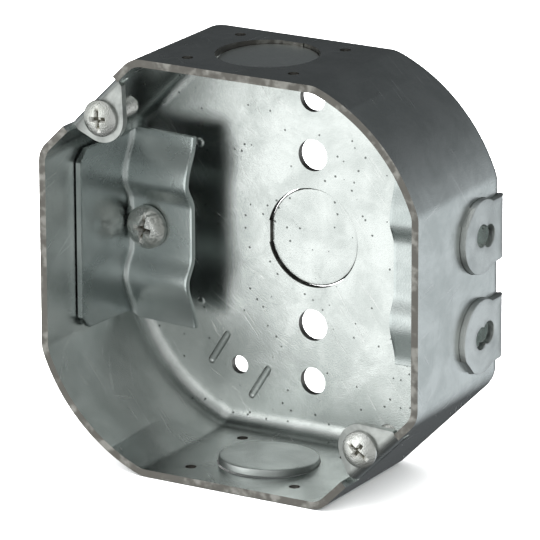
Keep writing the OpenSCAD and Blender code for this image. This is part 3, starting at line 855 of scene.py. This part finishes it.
# The window in each ear's wall, with a round-bottomed relief notch at each end.
def earWindows(above=60.0):
    tools = []
    w, r = ear["baseW"] / 2 + ear["notchW"], ear["notchW"] / 2
    bottom = arc(r, 180, 360, 10) + [0, notchH + r]
    outline = np.concatenate([[[w, above], [-w, above]], bottom - [w - r, 0], bottom + [w - r, 0]])
    for turn, lean in earPlaces:
        wall = lambda a, b, h, lean=lean: (h, a + lean, b)
        points, faces = prism(outline, earOut - 2 * shell["sheet"], earOut + shell["cutReach"], wall)
        tools.append((turnPlan(points, turn), faces))
    return together(*tools)


# An ear as one bent sheet: a path up the wall, round the fold and out to the screw, with an
# edge on each side that follows the tangents to the round tip.
def earSheet(turn, lean, columns=16):
    sheet, foldR, r = shell["sheet"], ear["foldR"], ear["tipR"]
    a = np.radians(np.linspace(0, 90, 11))
    baseX, tipX = earOut - foldR, screwOut
    fold = np.stack([baseX + foldR * np.cos(a), earH - foldR + foldR * np.sin(a)], -1)
    b = np.radians(np.linspace(0, 180, 41))
    xs = baseX - (baseX - tipX + r) * (1 - np.cos(b[1:])) / 2
    path = np.concatenate([[[earOut, notchH - 1.0]], fold, np.stack([xs, np.full(len(xs), earH)], -1)])
    away = np.concatenate([[[1.0, 0.0]], np.stack([np.cos(a), np.sin(a)], -1),
                           np.tile([0.0, 1.0], (len(xs), 1))])

    def edgeAt(x, side):
        base = np.array([baseX, lean + side * ear["baseW"] / 2])
        v = base - [tipX, 0]
        reachAngle = math.atan2(v[1], v[0]) + side * math.acos(r / math.hypot(*v))
        touch = np.array([tipX + r * math.cos(reachAngle), r * math.sin(reachAngle)])
        line = base[1] + (touch[1] - base[1]) * (x - baseX) / (touch[0] - baseX)
        bow = side * np.sqrt(np.maximum(r * r - (x - tipX) ** 2, 0))
        return np.where(x > touch[0], line, bow)

    atBase = np.minimum(path[:, 0], baseX)
    low, high = edgeAt(atBase, -1), edgeAt(atBase, 1)
    y = low[:, None] + (high - low)[:, None] * np.linspace(0, 1, columns + 1)
    outer = np.stack([path[:, 0, None] + 0 * y, y, path[:, 1, None] + 0 * y], -1)
    inner = outer - sheet * np.stack([away[:, 0, None] + 0 * y, 0 * y, away[:, 1, None] + 0 * y], -1)
    points, faces = thickGrid(outer, inner)
    return turnPlan(points, turn), faces


# The tapped collars under the clamp screws and the four dimples, each rooted in the sheet.
def shellBosses():
    sheet, inside, edge = shell["sheet"], shell["tappedR"], shell["collarEdge"]
    outside, top, root = inside + shell["collarWall"], sheet + shell["collarH"], shell["bossRoot"]
    flare = outside + shell["collarFlare"]
    collar = [(inside, root), (flare, root), (flare - 0.1, sheet + 0.1), (outside, sheet + 0.5),
              (outside, top - edge), (outside - edge, top), (inside, top), (inside, root)]
    a = np.radians(np.linspace(0, 90, 8))
    cap = np.stack([1e-4 + shell["dimpleR"] * np.cos(a), sheet + shell["dimpleH"] * np.sin(a)], -1)
    floor = [[1e-4, shell["dimpleRoot"]], [shell["dimpleR"], shell["dimpleRoot"]]]
    dimple = np.concatenate([floor, cap])
    solids = []
    for side in (-1, 1):
        solids.append(lathe(collar, 48, (side * clampScrewX, 0)))
        for up in (-1, 1):
            place = (side * (saddleEndX + shell["dimplePast"]),
                     up * (clamp["saddleW"] / 2 - shell["dimpleIn"]))
            solids.append(lathe(dimple, 24, place))
    return together(*solids)


# 1 on sheared faces: the rim and the walls of the holes.
def shellCutMask(mesh, near=0.02, across=0.5, along=0.95):
    n = len(mesh.polygons)
    normal, centre = np.zeros(n * 3), np.zeros(n * 3)
    mesh.polygons.foreach_get("normal", normal)
    mesh.polygons.foreach_get("center", centre)
    normal, centre = np.abs(normal.reshape(-1, 3)), centre.reshape(-1, 3) / mm
    h, x, z = -centre[:, 1], np.abs(centre[:, 0]), np.abs(centre[:, 2])
    reach = np.maximum.reduce([x, z, (x + z) / math.sqrt(2)])
    inner = flatOut - shell["sheet"] - near
    onBack = (h < shell["sheet"] + near) & (reach < flatOut - shell["bendR"] - 0.2)
    onEnds = (z > inner) & (x < 15) & (h > shell["bendR"])
    onSides = (x > inner) & (z < 20) & (h > shell["bendR"]) & (h < shell["depth"] - 1)
    rim = (h > shell["depth"] - 0.05) & (normal[:, 1] > along)
    back = onBack & (normal[:, 1] < across)
    ends = onEnds & (normal[:, 2] < across)
    sides = onSides & (normal[:, 0] < across)
    return (rim | back | ends | sides).astype(np.float32)


# 1 on the ears' flat faces, between the fold and the screw, where painted shade darkens them.
def earShadeMask(p):
    level = (p[:, 2] > earH - shell["sheet"] - 0.1) & (p[:, 2] < earH + 0.05)
    inFold = np.abs(p[:, 0]) + np.abs(p[:, 1]) < math.sqrt(2) * (earOut - ear["foldR"] * 0.5)
    return level & inFold & (np.abs(p[:, 0] + p[:, 1]) < shell["earShadeHalf"])


def makeShell():
    made = newObject("boxShell", plainShell())
    cutWith(made, earWindows())
    for turn, lean in earPlaces:
        cutWith(made, earSheet(turn, lean), "UNION")
    cutWith(made, shellCutters())
    points, faces = prism(circle(shell["tappedR"], screwOut, 0), notchH - 1, shell["depth"] + 3)
    cutWith(made, together(*[(turnPlan(points, turn), faces) for turn, _ in earPlaces]))
    finishMesh(made, shell["edge"])
    bosses = newObject("bosses", shellBosses())
    finishMesh(bosses, 0)
    joinInto(made, bosses)
    layer = made.data.attributes.new("cutFace", "FLOAT", "FACE")
    layer.data.foreach_set("value", shellCutMask(made.data))
    markPoints(made, "specked",
               lambda p: (p[:, 2] < shell["bendR"] * 0.8) & (p[:, 2] > shell["sheet"] * 0.5))
    markPoints(made, "earShade", earShadeMask)
    setPiece(made, "box", "box_shell", "shellSteel")


screw = dict(
    threadR=2.085, pitch=0.794, threadDepth=0.42, tip=1.0, tipShare=0.65, start=0.15,
    wingLen=2.3, wingW=0.6, wingTaper=0.55, wingFlare=1.15, crossFloor=0.32, slotFloor=0.66, slotW=0.45,
    rimShare=0.35, edge=0.07, above=0.5, margin=0.12,
)
coverScrew = dict(length=12.7, diameter=8.0, height=2.0, finish="screwZinc")
clampScrew = dict(length=9.8, diameter=9.6, height=3.0, finish="clampScrewZinc")


# A screw thread: the radius dips by a rounded saw of the height less the turn, times the pitch.
def threadedRod(length, steps=44, rowsPerTurn=8):
    s = screw
    rows = int(length / s["pitch"] * rowsPerTurn)
    h = np.linspace(s["start"], -length, rows)[:, None]
    turn = np.arange(steps)[None, :] / steps
    phase = np.abs(((h / s["pitch"] + turn) % 1.0) * 2 - 1)
    fade = np.clip((h + length) / s["tip"], 0, 1)
    depth = s["threadDepth"] * np.clip(phase * 1.25 - 0.1, 0, 1) * np.minimum(fade * 3, 1)
    r = (s["threadR"] - depth) * (s["tipShare"] + (1 - s["tipShare"]) * fade)
    a = 2 * math.pi * turn
    points = np.stack([r * np.cos(a), r * np.sin(a), h + 0 * r], -1)
    ends = [list(range(steps)), list(range((rows - 1) * steps, rows * steps))]
    return points.reshape(-1, 3), gridQuads(rows, steps, wrapCols=True) + ends


# A low domed head: a short rim with a rounded foot, then a circular dome.
def headProfile(diameter, height):
    r, rim = diameter / 2, height * screw["rimShare"]
    dome = height - rim
    domeR = (r * r + dome * dome) / (2 * dome)
    a = np.radians(np.linspace(0, math.degrees(math.asin(min(1, r / domeR))), 16))
    top = np.stack([domeR * np.sin(a), height - domeR * (1 - np.cos(a))], -1)
    top[0, 0] = 1e-4
    top[-1] = [r, rim]
    halfway = top[-2] * 0.5 + np.array([r, rim]) * 0.5
    foot = [[r, rim * 0.6], [r, 0.12], [r - 0.04, 0.04], [r - 0.12, 0.0], [1e-4, 0.0]]
    return np.concatenate([top[:-1], [halfway, [r - 0.03, rim]], foot])


# Cutters for a head: two crossed wings that narrow towards their floor, and one full slot.
def recessCutters(diameter, height):
    s = screw
    tools = []
    levels = ((s["crossFloor"] * height, s["wingTaper"]), (height + s["above"], s["wingFlare"]))
    for quarter in (0, 90):
        ends = []
        for level, grow in levels:
            ends.append([[x * s["wingLen"] * grow, y * s["wingW"] * grow, level]
                         for x, y in ((-1, -1), (1, -1), (1, 1), (-1, 1))])
        faces = gridQuads(2, 4, wrapCols=True) + [[3, 2, 1, 0], [4, 5, 6, 7]]
        tools.append((turnPlan(np.concatenate(ends), quarter), faces))
    d, w = diameter, s["slotW"]
    tools.append(prism([[-d, -w], [d, -w], [d, w], [-d, w]], s["slotFloor"] * height, height + s["above"]))
    return together(*tools)


def makeScrew(node, place, turn, size):
    s = screw
    diameter, height = size["diameter"], size["height"]
    head = newObject("screwHead", lathe(headProfile(diameter, height), 72))
    cutWith(head, recessCutters(diameter, height))
    finishMesh(head, s["edge"], smooth=40)

    # 1 inside the cross, below its brim, where painted shade darkens the recess
    def recess(p):
        far, width = np.hypot(p[:, 0], p[:, 1]), s["wingW"] + s["margin"]
        deep = (p[:, 2] < 0.8 * height) & (p[:, 2] > 0.2 * height)
        inWing = (np.abs(p[:, 0]) < width) | (np.abs(p[:, 1]) < width)
        return deep & inWing & (far > 1e-3) & (far < min(s["wingLen"] + 0.1, 0.45 * diameter))

    markPoints(head, "recessPaintedShade", recess)
    rod = newObject("rod", threadedRod(size["length"]))
    finishMesh(rod, 0, smooth=50)
    joinInto(head, rod)
    plan = turnPlan(planOf(head.data), turn) + place
    head.data.vertices.foreach_set("co", upright(plan).astype(np.float32).ravel())
    head.name = titled(node)
    head.data.name = head.name
    head.data.update()
    setPiece(head, node, node, size["finish"])


makeShell()
print("shell ready")

makeKnockout("knockout_top", sidePlace(1), 0.3, "discSteel")
makeKnockout("knockout_bottom", sidePlace(-1), 0.3, "discSteel")
makeKnockout("knockout_back", backPlace, 1.0, "shellSteel")
for side, sideName in ((-1, "left"), (1, "right")):
    for level, levelName in ((-1, "lower"), (1, "upper")):
        makePryout(f"pryout_{sideName}_{levelName}", side, level)
print("knockouts and pry-outs ready")

makeClamp("cable_clamp_left", -1)
makeClamp("cable_clamp_right", 1)
print("clamps ready")

for node, turn, recessTurn in (("cover_screw_upper", 135, 95), ("cover_screw_lower", 315, 325)):
    a = math.radians(turn)
    makeScrew(node, (screwOut * math.cos(a), screwOut * math.sin(a), earH), recessTurn, coverScrew)
for side, name in ((-1, "left"), (1, "right")):
    makeScrew(f"clamp_screw_{name}", (side * clampScrewX, 0, clamp["saddleH"]), 80, clampScrew)
print("screws ready")
